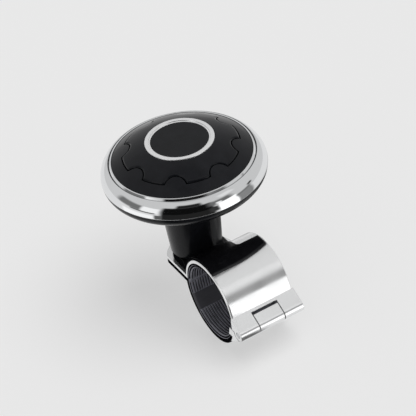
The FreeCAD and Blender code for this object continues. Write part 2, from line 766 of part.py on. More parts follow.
screw_low = flange_low - dim.screw_head_tall
screw_tip = lower_flange_top + dim.screw_rise
screws = []
inserts = []
for index, place in enumerate(screw_places, start=1):
    screw = turned(f"clamp_screw_{index}", [
        (ZERO, screw_low), (dim.screw_head_r - dim.small_edge, screw_low),
        (dim.screw_head_r, screw_low + dim.small_edge), (dim.screw_head_r, flange_low),
        (dim.screw_r, flange_low), (dim.screw_r, screw_tip - dim.small_edge),
        (dim.screw_r - dim.small_edge, screw_tip), (ZERO, screw_tip)], place)
    hex_pocket(screw, f"screw_socket_{index}", dim.hex_flats, dim.hex_deep, screw_low)
    screws.append(screw)
    inside = dim.screw_r + dim.screw_room
    inserts.append(turned(f"insert_{index}", [
        (inside, flange_top), (insert_r, flange_top), (insert_r, flange_top + dim.insert_long),
        (inside, flange_top + dim.insert_long)], place))
group("clamp_screws", screws)
group("screw_inserts", inserts)

bearing_top = dim.seat_z + dim.bearing_wide
nut_low = bearing_top + dim.washer_thick
spindle_top = nut_low + dim.nut_tall + dim.bolt_over
spindle = turned("spindle_bolt", [
    (ZERO, dim.split_high), (dim.spindle_head_r, dim.split_high),
    (dim.spindle_r, dim.split_high + dim.spindle_head_tall),
    (dim.spindle_r, spindle_top - dim.small_edge), (dim.spindle_r - dim.small_edge, spindle_top),
    (ZERO, spindle_top)], spin_axis)
hex_pocket(spindle, "spindle_socket", dim.hex_flats + dim.hex_deep, dim.hex_deep, dim.split_high)
keep("spindle_bolt", spindle)


def tube(name, inner_r, outer_r, low, high):
    return turned(name, [(inner_r, low), (outer_r, low), (outer_r, high), (inner_r, high)], spin_axis)


shaft_hole = dim.spindle_r + dim.fit_play
keep("spacer_tube", tube("spacer_tube", shaft_hole, dim.spacer_r, post_top, dim.seat_z))
keep("nut_washer", tube("nut_washer", shaft_hole, dim.washer_r, bearing_top, nut_low))
bush_low = stem_foot + dim.bush_low
keep("lower_bush", tube("lower_bush", dim.post_r + dim.fit_play, dim.bearing_r, bush_low,
                        bush_low + dim.bush_long))

nut = new_body("spindle_nut", spin_axis)
outline = new_sketch(nut, "nut_outline", "XY_Plane", nut_low)
nut_side = dim.nut_flats / math.sqrt(3)
draw_outline(outline, [
    (ZERO, -nut_side), (dim.nut_flats / 2, -nut_side / 2), (dim.nut_flats / 2, nut_side / 2),
    (ZERO, nut_side), (-dim.nut_flats / 2, nut_side / 2), (-dim.nut_flats / 2, -nut_side / 2)])
draw_circle(outline, ZERO, ZERO, shaft_hole)
extrude(nut, "Pad", outline, dim.nut_tall)
keep("spindle_nut", nut)


# Ball bearing

bearing_mid = dim.seat_z + dim.bearing_wide / 2
race_r = dim.ball_r + dim.ball_play
race_half = other_leg(race_r, dim.race_land)
inner_land = dim.pitch_r - dim.race_land
outer_land = dim.pitch_r + dim.race_land
keep("bearing_inner_race", turned("bearing_inner_race", [
    (shaft_hole, dim.seat_z), (inner_land, dim.seat_z), (inner_land, bearing_mid - race_half),
    (inner_land, bearing_mid + race_half, -race_r), (inner_land, bearing_top),
    (shaft_hole, bearing_top)], spin_axis))
keep("bearing_outer_race", turned("bearing_outer_race", [
    (outer_land, dim.seat_z), (dim.bearing_r, dim.seat_z), (dim.bearing_r, bearing_top),
    (outer_land, bearing_top), (outer_land, bearing_mid + race_half),
    (outer_land, bearing_mid - race_half, -race_r)], spin_axis))
shields = []
for name, low in (("shield_low", dim.seat_z + dim.fit_play),
                  ("shield_high", bearing_top - dim.fit_play - dim.shield_thick)):
    shields.append(tube(name, inner_land + dim.shield_in, outer_land, low, low + dim.shield_thick))
group("bearing_shields", shields)

cage = tube("bearing_cage", dim.pitch_r - dim.cage_thick / 2, dim.pitch_r + dim.cage_thick / 2,
            bearing_mid - dim.cage_tall / 2, bearing_mid + dim.cage_tall / 2)
pocket = new_sketch(cage, "cage_pocket", "YZ_Plane")
draw_circle(pocket, ZERO, bearing_mid, dim.ball_r + dim.cage_play)
polar(cage, extrude(cage, "Pocket", pocket, dim.pitch_r * 2, reverse=True), dim.ball_count)
keep("bearing_cage", cage)

balls = []
for index in range(int(SIZES["ball_count"])):
    ball = doc.addObject("Part::Sphere", f"ball_{index + 1}")
    bind(ball, "Radius", dim.ball_r)
    turn = f"{index} * 360 deg / Sizes.ball_count"
    ball.setExpression("Placement.Base.x", f"{spin_x.text} + Sizes.pitch_r * cos({turn})")
    ball.setExpression("Placement.Base.y", f"{spin_y.text} + Sizes.pitch_r * sin({turn})")
    bind(ball, "Placement.Base.z", bearing_mid)
    balls.append(ball)
group("bearing_balls", balls)

circlip = new_body("retaining_ring", spin_axis)
outline = new_sketch(circlip, "circlip_outline", "XY_Plane", bearing_top)
draw_circle(outline, ZERO, ZERO, dim.bearing_r + dim.circlip_groove - dim.fit_play)
draw_circle(outline, ZERO, ZERO, dim.bearing_r - dim.circlip_in)
extrude(circlip, "Pad", outline, dim.circlip_thick)
mouth = new_sketch(circlip, "circlip_mouth", "XY_Plane", bearing_top + dim.circlip_thick)
mouth_half = dim.circlip_in * 0.8
draw_outline(mouth, [(ZERO, -mouth_half), (dim.bearing_r * 2, -mouth_half),
                     (dim.bearing_r * 2, mouth_half), (ZERO, mouth_half)])
extrude(circlip, "Pocket", mouth, dim.circlip_thick)
eyes = new_sketch(circlip, "circlip_eyes", "XY_Plane", bearing_top + dim.circlip_thick)
for side in (-1, 1):
    draw_circle(eyes, dim.bearing_r - dim.circlip_in / 2, dim.circlip_in * 1.6 * side,
                dim.circlip_in / 3)
extrude(circlip, "Pocket", eyes, dim.circlip_thick)
keep("retaining_ring", circlip)


# Lower shell: the stem and the cup of the knob, one moulding

ring_foot = dim.rim_z - dim.ring_bottom
ring_centre = dim.ring_r - dim.ring_tube_r
ring_foot_r = ring_centre + other_leg(dim.ring_tube_r, dim.ring_bottom - dim.ring_sink)
seat_z = dim.rim_z - dim.ring_seat
cup_side = dim.rim_z - dim.cup_side
cup_low = cup_side - dim.cup_fall
cup_side_r = ring_foot_r - dim.cup_side_in
cup_low_r = cup_side_r - dim.cup_low_in
spigot_r = ring_seat_r - dim.fit_play
spigot_in = spigot_r - dim.spigot_wall
clip_top = bearing_top + dim.circlip_thick + dim.fit_play * 2
hub_top = bearing_top + dim.hub_over
floor_mid = cup_low - dim.cup_rise + dim.cup_wall
shell = turned("lower_shell", [
    (dim.bearing_r, stem_foot), (foot_r, stem_foot), (dim.stem_top_r, dim.stem_top),
    (dim.stem_top_r + dim.cup_neck, cup_low - dim.cup_rise), (cup_low_r, cup_low),
    (cup_side_r, cup_side), (ring_foot_r - dim.cup_step, ring_foot, dim.cup_round),
    (spigot_r, ring_foot), (spigot_r, seat_z - dim.fit_play), (spigot_in, seat_z - dim.fit_play),
    (spigot_in, cup_side + dim.cup_wall / 2), (cup_low_r - dim.cup_wall / 2, cup_low + dim.cup_wall),
    (dim.hub_r, floor_mid), (dim.hub_r, hub_top), (dim.bearing_r, hub_top),
    (dim.bearing_r, clip_top), (dim.bearing_r + dim.circlip_groove, clip_top),
    (dim.bearing_r + dim.circlip_groove, bearing_top), (dim.bearing_r, bearing_top),
    (dim.bearing_r, dim.seat_z), (dim.bearing_r - dim.seat_lip, dim.seat_z),
    (dim.bearing_r - dim.seat_lip, dim.seat_z - dim.seat_lip_tall),
    (dim.bearing_r, dim.seat_z - dim.seat_lip_tall)], spin_axis, dim.scallop_turn)
boss_low = cup_low - dim.cup_rise / 2 + dim.cup_wall / 2
boss_top = seat_z - dim.fit_play
boss = new_sketch(shell, "shell_boss", "XY_Plane", boss_low)
draw_circle(boss, boss_circle, ZERO, dim.boss_r)
polar(shell, extrude(shell, "Pad", boss, boss_top - boss_low), dim.boss_count)
hole = new_sketch(shell, "shell_screw_hole", "XY_Plane", boss_top)
draw_circle(hole, boss_circle, ZERO, dim.dish_screw_r + dim.fit_play)
polar(shell, extrude(shell, "Pocket", hole, boss_top - dim.stem_top), dim.boss_count)
screw_seat = cup_low - dim.cup_rise / 2 + dim.dish_screw_sink
sink = new_sketch(shell, "shell_screw_sink", "XY_Plane", screw_seat)
draw_circle(sink, boss_circle, ZERO, dim.dish_screw_head_r + dim.fit_play * 2)
polar(shell, extrude(shell, "Pocket", sink, screw_seat - dim.stem_top), dim.boss_count)
keep("lower_shell", shell)


# Dome: a ring, a dish with a gear-shaped recess, and the gear-shaped cap in it

def scallops(body, name, radius, high):
    sketch = new_sketch(body, name, "XY_Plane", high)
    draw_circle(sketch, scallop_circle, ZERO, radius)
    polar(body, extrude(body, "Pocket", sketch, high), dim.scallop_count)


keep("chrome_ring", turned("chrome_ring", [
    (dome_edge_r, seat_z), (dome_edge_r, dim.rim_z + dim.ring_lip_up),
    (dome_edge_r + dim.ring_lip, dim.rim_z + dim.ring_lip_up),
    (dome_edge_r + dim.ring_lip, dim.rim_z - dim.ring_notch_deep),
    (dome_edge_r + dim.ring_lip + dim.ring_notch, dim.rim_z - dim.ring_notch_deep),
    (dome_edge_r + dim.ring_lip + dim.ring_notch,
     dim.rim_z - dim.ring_sink + other_leg(
         dim.ring_tube_r, dome_edge_r + dim.ring_lip + dim.ring_notch - ring_centre)),
    (ring_foot_r, ring_foot, -dim.ring_tube_r), (ring_seat_r, ring_foot),
    (ring_seat_r, seat_z)], spin_axis))

recess_z = dome_top - dim.recess_drop
flat_z = dome_top - dim.flat_drop
cap = turned("gear_cap", [
    (ZERO, flat_z), (dome_reach(flat_z, dim.cap_thick), flat_z),
    (cap_r, dome_height(cap_r, dim.cap_thick), -(dome_r - dim.cap_thick)),
    (cap_r, dome_height(cap_r, -dim.cap_proud)),
    (dim.emblem_r + dim.fit_play, dome_height(dim.emblem_r + dim.fit_play, -dim.cap_proud),
     dome_r + dim.cap_proud),
    (dim.emblem_r + dim.fit_play, recess_z), (ZERO, recess_z)], spin_axis, dim.scallop_turn)
scallops(cap, "cap_scallop", dim.scallop_r, dome_top + dim.cap_proud)
keep("gear_cap", cap)

floor_in = dim.cap_thick + dim.fit_play
under_in = floor_in + dim.dish_thick
skirt_r = dome_edge_r - dim.fit_play
skirt_in = skirt_r - dim.dish_skirt
dish = turned("top_dish", [
    (ZERO, seat_z), (skirt_r, seat_z), (skirt_r, dome_height(skirt_r)),
    (ZERO, dome_top, dome_r)], spin_axis, dim.scallop_turn)
floor_z = flat_z - dim.fit_play
recess_r = cap_r + dim.cap_gap
recess = turned("dish_recess", [
    (ZERO, floor_z), (dome_reach(floor_z, floor_in), floor_z),
    (recess_r, dome_height(recess_r, floor_in), -(dome_r - floor_in)),
    (recess_r, dome_top + dim.dome_rise), (ZERO, dome_top + dim.dome_rise)], None)
scallops(recess, "recess_scallop", dim.scallop_r - dim.cap_gap, dome_top + dim.dome_rise)
hollow = turned("dish_hollow", [
    (ZERO, seat_z - dim.dome_rise), (skirt_in, seat_z - dim.dome_rise),
    (skirt_in, dome_height(skirt_in, under_in)),
    (dome_reach(floor_z - dim.dish_thick, under_in), floor_z - dim.dish_thick,
     dome_r - under_in),
    (ZERO, floor_z - dim.dish_thick)], None)
core = new_sketch(hollow, "dish_boss", "XY_Plane", dome_top)
draw_circle(core, boss_circle, ZERO, dim.dish_boss_r)
polar(hollow, extrude(hollow, "Pocket", core, dome_top), dim.boss_count)
boolean(dish, "Cut", recess)
boolean(dish, "Cut", hollow)
dish_hole_top = seat_z + dim.dish_screw_long - (seat_z - screw_seat) + dim.fit_play
hole = new_sketch(dish, "dish_screw_hole", "XY_Plane", dish_hole_top)
draw_circle(hole, boss_circle, ZERO, dim.dish_screw_r + dim.fit_play)
polar(dish, extrude(dish, "Pocket", hole, dish_hole_top - seat_z), dim.boss_count)
keep("top_dish", dish)

dish_screws = []
for index in range(int(SIZES["boss_count"])):
    turn = f"({index} * 360 deg / Sizes.boss_count + Sizes.scallop_turn * 1 deg)"
    angle = math.radians(index * 360 / SIZES["boss_count"] + SIZES["scallop_turn"])
    across = Size(math.cos(angle), f"cos({turn})")
    along = Size(math.sin(angle), f"sin({turn})")
    place = (spin_x + boss_circle * across, spin_y + boss_circle * along)
    tip = screw_seat + dim.dish_screw_long
    head = screw_seat - dim.dish_screw_head_tall
    dish_screws.append(turned(f"dish_screw_{index + 1}", [
        (ZERO, head), (dim.dish_screw_head_r - dim.fit_play * 4, head),
        (dim.dish_screw_head_r, head + dim.fit_play * 4), (dim.dish_screw_head_r, screw_seat),
        (dim.dish_screw_r, screw_seat), (dim.dish_screw_r, tip - dim.dish_screw_r / 2),
        (dim.dish_screw_r / 2, tip), (ZERO, tip)], place))
    hex_pocket(dish_screws[-1], f"dish_screw_socket_{index + 1}", dim.dish_screw_head_r,
               dim.dish_screw_head_tall / 2, head)
group("dish_screws", dish_screws)

emblem_top = recess_z + dim.emblem_high
emblem_in = dim.emblem_r - dim.emblem_wide
keep("emblem_ring", turned("emblem_ring", [
    (emblem_in, recess_z), (dim.emblem_r, recess_z),
    (dim.emblem_r, emblem_top - dim.emblem_edge), (dim.emblem_r - dim.emblem_edge, emblem_top),
    (emblem_in + dim.emblem_edge, emblem_top),
    (emblem_in, emblem_top - dim.emblem_edge)], spin_axis))
keep("emblem_disc", turned("emblem_disc", [
    (ZERO, recess_z), (emblem_in - dim.fit_play, recess_z),
    (emblem_in - dim.fit_play, recess_z + dim.emblem_disc_high),
    (ZERO, recess_z + dim.emblem_disc_high)], spin_axis))

doc.recompute()


# Check every feature and every solid, then write one file per node

for thing in doc.Objects:
    if "Invalid" in thing.State or "Error" in thing.State:
        raise RuntimeError(f"{thing.Name} did not build: {thing.State}")
SOLIDS = {"clamp_screws": 2, "screw_inserts": 2, "bearing_shields": 2,
          "bearing_balls": int(SIZES["ball_count"]), "dish_screws": int(SIZES["boss_count"])}
os.makedirs("parts", exist_ok=True)
for node, thing in pieces.items():
    shape = thing.Shape
    if shape.isNull() or not shape.isValid() or len(shape.Solids) != SOLIDS.get(node, 1):
        raise RuntimeError(f"{node} is not sound: {len(shape.Solids)} solids")
    shape.exportStep(f"parts/{node}.step")
    print(f"{node}: {shape.Volume:.1f} mm3")
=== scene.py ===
import json
import math
import bmesh
import bpy
from mathutils import Matrix, Vector


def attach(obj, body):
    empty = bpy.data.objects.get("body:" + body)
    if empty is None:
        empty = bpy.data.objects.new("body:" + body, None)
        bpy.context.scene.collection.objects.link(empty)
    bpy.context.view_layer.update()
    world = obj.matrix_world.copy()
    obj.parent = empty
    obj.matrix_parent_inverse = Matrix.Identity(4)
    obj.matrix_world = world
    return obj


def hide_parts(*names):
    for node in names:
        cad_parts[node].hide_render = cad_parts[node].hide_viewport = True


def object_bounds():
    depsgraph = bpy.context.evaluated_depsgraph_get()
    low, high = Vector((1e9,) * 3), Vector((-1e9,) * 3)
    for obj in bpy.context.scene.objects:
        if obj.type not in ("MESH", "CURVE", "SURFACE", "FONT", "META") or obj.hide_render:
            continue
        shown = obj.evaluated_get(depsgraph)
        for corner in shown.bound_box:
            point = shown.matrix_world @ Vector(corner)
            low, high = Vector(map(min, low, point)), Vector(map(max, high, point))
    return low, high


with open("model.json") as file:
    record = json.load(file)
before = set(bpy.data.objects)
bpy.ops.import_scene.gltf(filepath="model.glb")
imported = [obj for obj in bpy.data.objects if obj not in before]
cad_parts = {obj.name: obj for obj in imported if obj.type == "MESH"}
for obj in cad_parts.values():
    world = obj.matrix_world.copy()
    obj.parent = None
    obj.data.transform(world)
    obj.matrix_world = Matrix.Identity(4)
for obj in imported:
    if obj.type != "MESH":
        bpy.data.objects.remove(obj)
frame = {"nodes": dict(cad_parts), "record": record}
cad_low, cad_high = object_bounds()
nodes = frame["nodes"]


def add_object(name, data):
    item = bpy.data.objects.new(name, data)
    bpy.context.scene.collection.objects.link(item)
    return item


# Camera: where the photograph was taken from, in metres in the clamp's frame

CAMERA_SPOT = (0.45979, -0.23307, 0.44328)
CAMERA_RIGHT = (0.5191, 0.8461, -0.1214)
CAMERA_UP = (-0.4776, 0.4049, 0.7797)
CAMERA_BACK = (0.7089, -0.3467, 0.6142)
SENSOR_WIDTH, FOCAL_LENGTH = 36.0, 147.29
CLIP_NEAR, CLIP_FAR = 0.01, 20.0

camera_data = bpy.data.cameras.new("camera")
camera_data.sensor_width = SENSOR_WIDTH
camera_data.lens = FOCAL_LENGTH
camera_data.clip_start, camera_data.clip_end = CLIP_NEAR, CLIP_FAR
camera = add_object("camera", camera_data)
camera_turn = Matrix((CAMERA_RIGHT, CAMERA_UP, CAMERA_BACK)).transposed().to_4x4()
camera.matrix_world = Matrix.Translation(CAMERA_SPOT) @ camera_turn
bpy.context.scene.camera = camera
bpy.context.scene.view_settings.view_transform = "Standard"


# Materials

# Noise is mapped from this part of its range
NOISE_START, NOISE_END = 0.3, 0.7
# Where a face counts as an end face: the size of its normal's part along the bore
END_START, END_FULL = 0.78, 0.9
# Ambient occlusion at which the painted shade in a crease is darkest, and at which it ends
CREASE_FULL, CREASE_END = 0.25, 0.8
BEVEL_SAMPLES, CREASE_SAMPLES = 6, 8

# Scale and detail of each noise
PLASTIC_SHEEN, PLASTIC_TINT, PLASTIC_GRAIN = (90.0, 4.0), (260.0, 3.0), (2600.0, 2.0)
METAL_SHEEN, METAL_TINT, METAL_GRAIN = (140.0, 4.0), (60.0, 3.0), (1800.0, 3.0)
RUBBER_SHEEN, RUBBER_TINT, RUBBER_GRAIN = (500.0, 4.0), (220.0, 4.0), (2200.0, 3.0)

# Rubber: gloss, depth of its grain, and its smooth strip, by angle round the bore
RUBBER_SPECULAR, RUBBER_DEPTH = 0.3, 0.00004
STRIP_AT, STRIP_HALF, STRIP_SHADE = -145.75, 14.0, 0.3


def math_node(tree, operation, *values):
    node = tree.nodes.new("ShaderNodeMath")
    node.operation = operation
    for index, value in enumerate(values):
        if isinstance(value, (int, float)):
            node.inputs[index].default_value = value
        else:
            tree.links.new(value, node.inputs[index])
    return node.outputs[0]


def map_range(tree, source, start, end, low, high, kind="LINEAR"):
    """From low at start to high at end, and level beyond them."""
    node = tree.nodes.new("ShaderNodeMapRange")
    node.interpolation_type = kind
    for key, value in (("From Min", start), ("From Max", end),
                       ("To Min", low), ("To Max", high)):
        node.inputs[key].default_value = value
    tree.links.new(source, node.inputs["Value"])
    return node.outputs["Result"]


def mix_shaders(tree, share, under, over):
    """The shader under, and the one over where share is 1."""
    node = tree.nodes.new("ShaderNodeMixShader")
    tree.links.new(share, node.inputs["Fac"])
    tree.links.new(under, node.inputs[1])
    tree.links.new(over, node.inputs[2])
    return node.outputs[0]


class Look:
    """A node material made by short calls."""

    def __init__(self, name, color, metal, rough):
        self.name = name
        self.material = bpy.data.materials.new(name)
        self.material.use_nodes = True
        self.tree = self.material.node_tree
        self.shader = self.tree.nodes["Principled BSDF"]
        self.shader.inputs["Base Color"].default_value = (*color, 1)
        self.set(Metallic=metal, Roughness=rough)
        self.where = self.tree.nodes.new("ShaderNodeTexCoord").outputs["Object"]
        self.normal = None

    def set(self, **values):
        for key, value in values.items():
            self.shader.inputs[key.replace("_", " ")].default_value = value
        return self

    def noise(self, scale, detail, stretch=None):
        source = self.where
        if stretch:
            mapping = self.tree.nodes.new("ShaderNodeMapping")
            mapping.inputs["Scale"].default_value = stretch
            self.tree.links.new(source, mapping.inputs["Vector"])
            source = mapping.outputs["Vector"]
        node = self.tree.nodes.new("ShaderNodeTexNoise")
        node.inputs["Scale"].default_value = scale
        node.inputs["Detail"].default_value = detail
        self.tree.links.new(source, node.inputs["Vector"])
        return node.outputs["Fac"]

    def roughen(self, source, low, high):
        rough = map_range(self.tree, source, NOISE_START, NOISE_END, low, high)
        self.tree.links.new(rough, self.shader.inputs["Roughness"])
        return self

    def tint(self, source, first, second):
        node = self.tree.nodes.new("ShaderNodeValToRGB")
        for stop, position, color in zip(node.color_ramp.elements, (NOISE_START, NOISE_END),
                                         (first, second)):
            stop.position = position
            stop.color = (*color, 1)
        self.tree.links.new(source, node.inputs["Fac"])
        self.tree.links.new(node.outputs["Color"], self.shader.inputs["Base Color"])
        return self

    def cover(self, share, color):
        """Lays a plain colour over the tint where share is 1."""
        base = self.shader.inputs["Base Color"]
        node = self.tree.nodes.new("ShaderNodeMix")
        node.data_type = "RGBA"
        self.tree.links.new(share, node.inputs["Factor"])
        self.tree.links.new(base.links[0].from_socket, node.inputs[6])
        node.inputs[7].default_value = (*color, 1)
        self.tree.links.new(node.outputs[2], base)
        return self

    def use_normal(self, socket):
        self.normal = socket
        self.tree.links.new(socket, self.shader.inputs["Normal"])
        return self

    def round_edges(self, radius):
        """Softens the edges' shading, as a bevel of this radius would."""
        node = self.tree.nodes.new("ShaderNodeBevel")
        node.samples = BEVEL_SAMPLES
        node.inputs["Radius"].default_value = radius
        return self.use_normal(node.outputs["Normal"])

    def bump(self, source, distance):
        node = self.tree.nodes.new("ShaderNodeBump")
        node.inputs["Distance"].default_value = distance
        self.tree.links.new(source, node.inputs["Height"])
        if self.normal is not None:
            self.tree.links.new(self.normal, node.inputs["Normal"])
        return self.use_normal(node.outputs["Normal"])

    def end_mask(self):
        """1 on faces across the bore's axis, 0 on faces along it."""
        facing = self.tree.nodes.new("ShaderNodeSeparateXYZ")
        normal = self.tree.nodes.new("ShaderNodeNewGeometry").outputs["True Normal"]
        self.tree.links.new(normal, facing.inputs[0])
        along = math_node(self.tree, "ABSOLUTE", facing.outputs["Y"])
        return map_range(self.tree, along, END_START, END_FULL, 0.0, 1.0)

    def matt_ends(self, specular):
        """No gloss on the end faces; the rest has this specular level."""
        level = map_range(self.tree, self.end_mask(), 0.0, 1.0, specular, 0.0)
        self.tree.links.new(level, self.shader.inputs["Specular IOR Level"])
        return self

    def paint_crease_shade(self, distance, dark):
        """Paints shade into the colour in gaps and along inside corners, where ambient occlusion
        finds them.
        """
        node = self.tree.nodes.new("ShaderNodeAmbientOcclusion")
        node.samples = CREASE_SAMPLES
        node.inputs["Distance"].default_value = distance
        share = map_range(self.tree, node.outputs["AO"], CREASE_FULL, CREASE_END, 1.0, 0.0)
        return self.cover(share, dark)


def shades(color, low, high):
    return [c * low for c in color], [c * high for c in color]


def plastic(name, color, rough, specular=0.5, grain=0.0, edge=0.0):
    look = Look(name, color, 0.0, rough).set(Specular_IOR_Level=specular)
    if edge:
        look.round_edges(edge)
    look.roughen(look.noise(*PLASTIC_SHEEN), rough * 0.8, rough * 1.35)
    look.tint(look.noise(*PLASTIC_TINT), *shades(color, 0.85, 1.2))
    if grain:
        look.bump(look.noise(*PLASTIC_GRAIN), grain)
    return look


def metal(name, color, low, high, brush=None, depth=0.0, edge=0.0):
    """Metal of roughness low to high; brush stretches its noise."""
    look = Look(name, color, 1.0, low)
    if edge:
        look.round_edges(edge)
    look.roughen(look.noise(*METAL_SHEEN, brush), low, high)
    look.tint(look.noise(*METAL_TINT), *shades(color, 0.96, 1.0))
    if depth:
        look.bump(look.noise(*METAL_GRAIN, brush), depth)
    return look


def rubber(name, color, end_shade_color, rough):
    """Rubber with pale ribs, a darker smooth strip along the bore, and painted shade, in the dark
    colour given, on its end faces and the steep sides of its ribs.
    """
    look = Look(name, color, 0.0, rough)
    look.roughen(look.noise(*RUBBER_SHEEN), rough * 0.85, rough * 1.2)
    look.tint(look.noise(*RUBBER_TINT), *shades(color, 0.75, 1.3))
    look.matt_ends(RUBBER_SPECULAR)
    place = look.tree.nodes.new("ShaderNodeSeparateXYZ")
    look.tree.links.new(look.where, place.inputs[0])
    angle = math_node(look.tree, "ARCTAN2", place.outputs["Z"], place.outputs["X"])
    off = math_node(look.tree, "SUBTRACT", math_node(look.tree, "DEGREES", angle), STRIP_AT)
    strip = map_range(look.tree, math_node(look.tree, "ABSOLUTE", off),
                      STRIP_HALF - 1, STRIP_HALF, 1.0, 0.0)
    look.cover(strip, [c * STRIP_SHADE for c in color])
    # Painted shade: faces across the bore, which are the end faces and the ribs' steep sides,
    # take the dark colour.
    look.cover(look.end_mask(), end_shade_color)
    return look.bump(look.noise(*RUBBER_GRAIN), RUBBER_DEPTH)


GLOSS_BLACK = (0.008, 0.0085, 0.0105)
DEEP_BLACK = (0.005, 0.005, 0.006)
looks = {look.name: look for look in (
    plastic("emblem_black", (0.0085, 0.009, 0.0105), 0.2, specular=0.14),
    metal("emblem_silver", (0.95, 0.955, 0.96), 0.24, 0.32, depth=0.0000015).set(Metallic=0.8),
    plastic("dome_black", GLOSS_BLACK, 0.13, specular=0.18, edge=0.0004),
    # Painted shade in the ring's creases, by ambient occlusion.
    metal("rim_chrome", (0.88, 0.89, 0.9), 0.03, 0.07).paint_crease_shade(0.0012, (0.03, 0.03, 0.03)),
    plastic("stem_black", GLOSS_BLACK, 0.22, specular=0.15, grain=0.000006),
    plastic("base_black", DEEP_BLACK, 0.14, specular=0.3, edge=0.0003).matt_ends(0.2),
    # Painted shade in the clamp's gaps and creases, by ambient occlusion.
    metal("clamp_chrome", (0.94, 0.945, 0.95), 0.12, 0.2, brush=(0.25, 1.0, 0.25),
          depth=0.000004, edge=0.00022).set(Metallic=0.78).paint_crease_shade(
              0.0009, (0.02, 0.02, 0.02)),
    # The liner's colour is made pale so that its ribs look lit inside the shaded bore: painted
    # light. Its end faces and rib sides get painted shade.
    rubber("liner_rubber", (0.26, 0.26, 0.3), DEEP_BLACK, 0.5),
    metal("steel", (0.5, 0.51, 0.53), 0.2, 0.35),
    metal("pin_steel", (0.6, 0.61, 0.63), 0.15, 0.3),
    metal("spring_steel", (0.08, 0.08, 0.09), 0.25, 0.4),
    plastic("cage_nylon", (0.6, 0.56, 0.43), 0.4),
    plastic("bush_acetal", (0.7, 0.7, 0.67), 0.35),
    metal("insert_brass", (0.66, 0.46, 0.2), 0.25, 0.4),
)}
slots = {part["node"]: part["material_slot"] for part in frame["record"]["subparts"]}
for node, slot in slots.items():
    nodes[node].data.materials.clear()
    nodes[node].data.materials.append(looks[slot].material)


# Shapes: what the pieces are built with.  Lengths are in millimetres from here to the floor.

TURN_STEPS, BORE_STEPS, ROUND_STEPS = 256, 192, 5


def metres(x, y, z):
    return x / 1000, y / 1000, z / 1000


def circle(steps):
    """Points of a circle of radius 1."""
    angles = [2 * math.pi * step / steps for step in range(steps)]
    return [(math.cos(angle), math.sin(angle)) for angle in angles]


def arc(centre, radius, start, end, steps):
    """Points on a circle, angles in degrees."""
    points = []
    for step in range(steps + 1):
        angle = math.radians(start + (end - start) * step / steps)
        points.append((centre[0] + radius * math.cos(angle),
                       centre[1] + radius * math.sin(angle)))
    return points


def ray(degrees):
    angle = math.radians(degrees)
    return Vector((math.cos(angle), math.sin(angle)))


def corner_round(before, corner, after, radius):
    """Points that round a corner off."""
    first = (before - corner).normalized()
    second = (after - corner).normalized()
    half = first.angle(second) / 2
    back = radius / math.tan(half)
    middle = corner + (first + second).normalized() * radius / math.sin(half)
    start, end = corner + first * back - middle, corner + second * back - middle
    turn = start.angle_signed(end)
    return [tuple(middle + Matrix.Rotation(-turn * step / ROUND_STEPS, 2) @ start)
            for step in range(ROUND_STEPS + 1)]


def rounded(corners):
    """A closed profile of corners (x, y, radius); a corner of radius 0 stays sharp."""
    points = []
    for index, (x, y, radius) in enumerate(corners):
        if radius:
            after = corners[(index + 1) % len(corners)]
            points += corner_round(Vector(corners[index - 1][:2]), Vector((x, y)),
                                   Vector(after[:2]), radius)
        else:
            points.append((x, y))
    return points


def join_rings(shape, first, second):
    """Faces between two closed rings of as many vertices."""
    for index in range(len(first)):
        after = (index + 1) % len(first)
        shape.faces.new((first[index], first[after], second[after], second[index]))


def run_along(shape, rows):
    """Faces along open rows of closed rings, with a face at either end."""
    for first, second in zip(rows, rows[1:]):
        join_rings(shape, first, second)
    shape.faces.new(rows[0])
    shape.faces.new(rows[-1])


def mesh_of(shape, name, facing_out=True):
    if facing_out:
        bmesh.ops.recalc_face_normals(shape, faces=shape.faces)
    mesh = bpy.data.meshes.new(name)
    shape.to_mesh(mesh)
    shape.free()
    return mesh


# Pieces of the head, turned about the spin axis

SPIN_X, SPIN_Y = -27.5, -2.35
RIM_Z, DOME_EDGE, DOME_RISE = 52.1, 28.05, 8.8
DOME_R = (DOME_EDGE ** 2 + DOME_RISE ** 2) / (2 * DOME_RISE)
DOME_CENTRE = RIM_Z + DOME_RISE - DOME_R

# Ring: radii, the tube and how far its centre lies under the rim, heights of foot and seat
RING_OUT, RING_IN, RING_TUBE, RING_SINK = 33.2, 29.6, 7.25, 6.6
RING_FOOT, RING_SEAT, FOOT_IN, FOOT_UP = 45.5, 47.5, 0.1, 0.12
LIP_WIDTH, LIP_RISE, LIP_ROUND = 0.55, 0.2, 0.25
GROOVE_REACH, GROOVE_DEPTH, GROOVE_LAND = 1.5, 0.95, 0.2
# The tube's arc leaves this many degrees, and this height, to its rounded upper edge
TUBE_BACK, TUBE_DROP, TUBE_END, TUBE_STEPS = 2.5, 0.12, 0.6, 40

EMBLEM_R, EMBLEM_IN, EMBLEM_FLOOR, EMBLEM_HEIGHT = 13.8, 11.6, 58.4, 1.25
EMBLEM_STEP, STEP_SHARE, STEP_DROP, INNER_DROP = 0.65, 0.8, 0.32, 0.4

CAP_R, CAP_PROUD, CAP_THICK, CAP_ROUND = 23.2, 0.35, 2.5, 0.65
CAP_ARCH, EMBLEM_GAP, HOLE_LAND = 1.2, 0.1, 0.15
SCALLOP_CIRCLE, SCALLOP_R, LOBE_ROUND = 24.7, 4.8, 0.8
SCALLOP_TURN, SCALLOP_COUNT = 8.9, 8
HOLLOW_STEPS, LOBE_STEPS, CREST_STEPS, EDGE_STEPS, TOP_STEPS = 7, 6, 6, 6, 16


def dome(radius, over=0.0):
    """Height of the dome at this radius, or of a sphere this far over it."""
    return DOME_CENTRE + math.sqrt((DOME_R + over) ** 2 - radius ** 2)


def on_dome(points, over, drop=0.0):
    return [(p.x, p.y, dome(p.length, over) - drop) for p in points]


def add_piece(name, mesh, node):
    """A piece that stands for a CAD node: its body, slot and material are the node's."""
    for face in mesh.polygons:
        face.use_smooth = True
    piece = add_object(name, mesh)
    mesh.materials.append(looks[slots[node]].material)
    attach(piece, "knob")
    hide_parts(node)


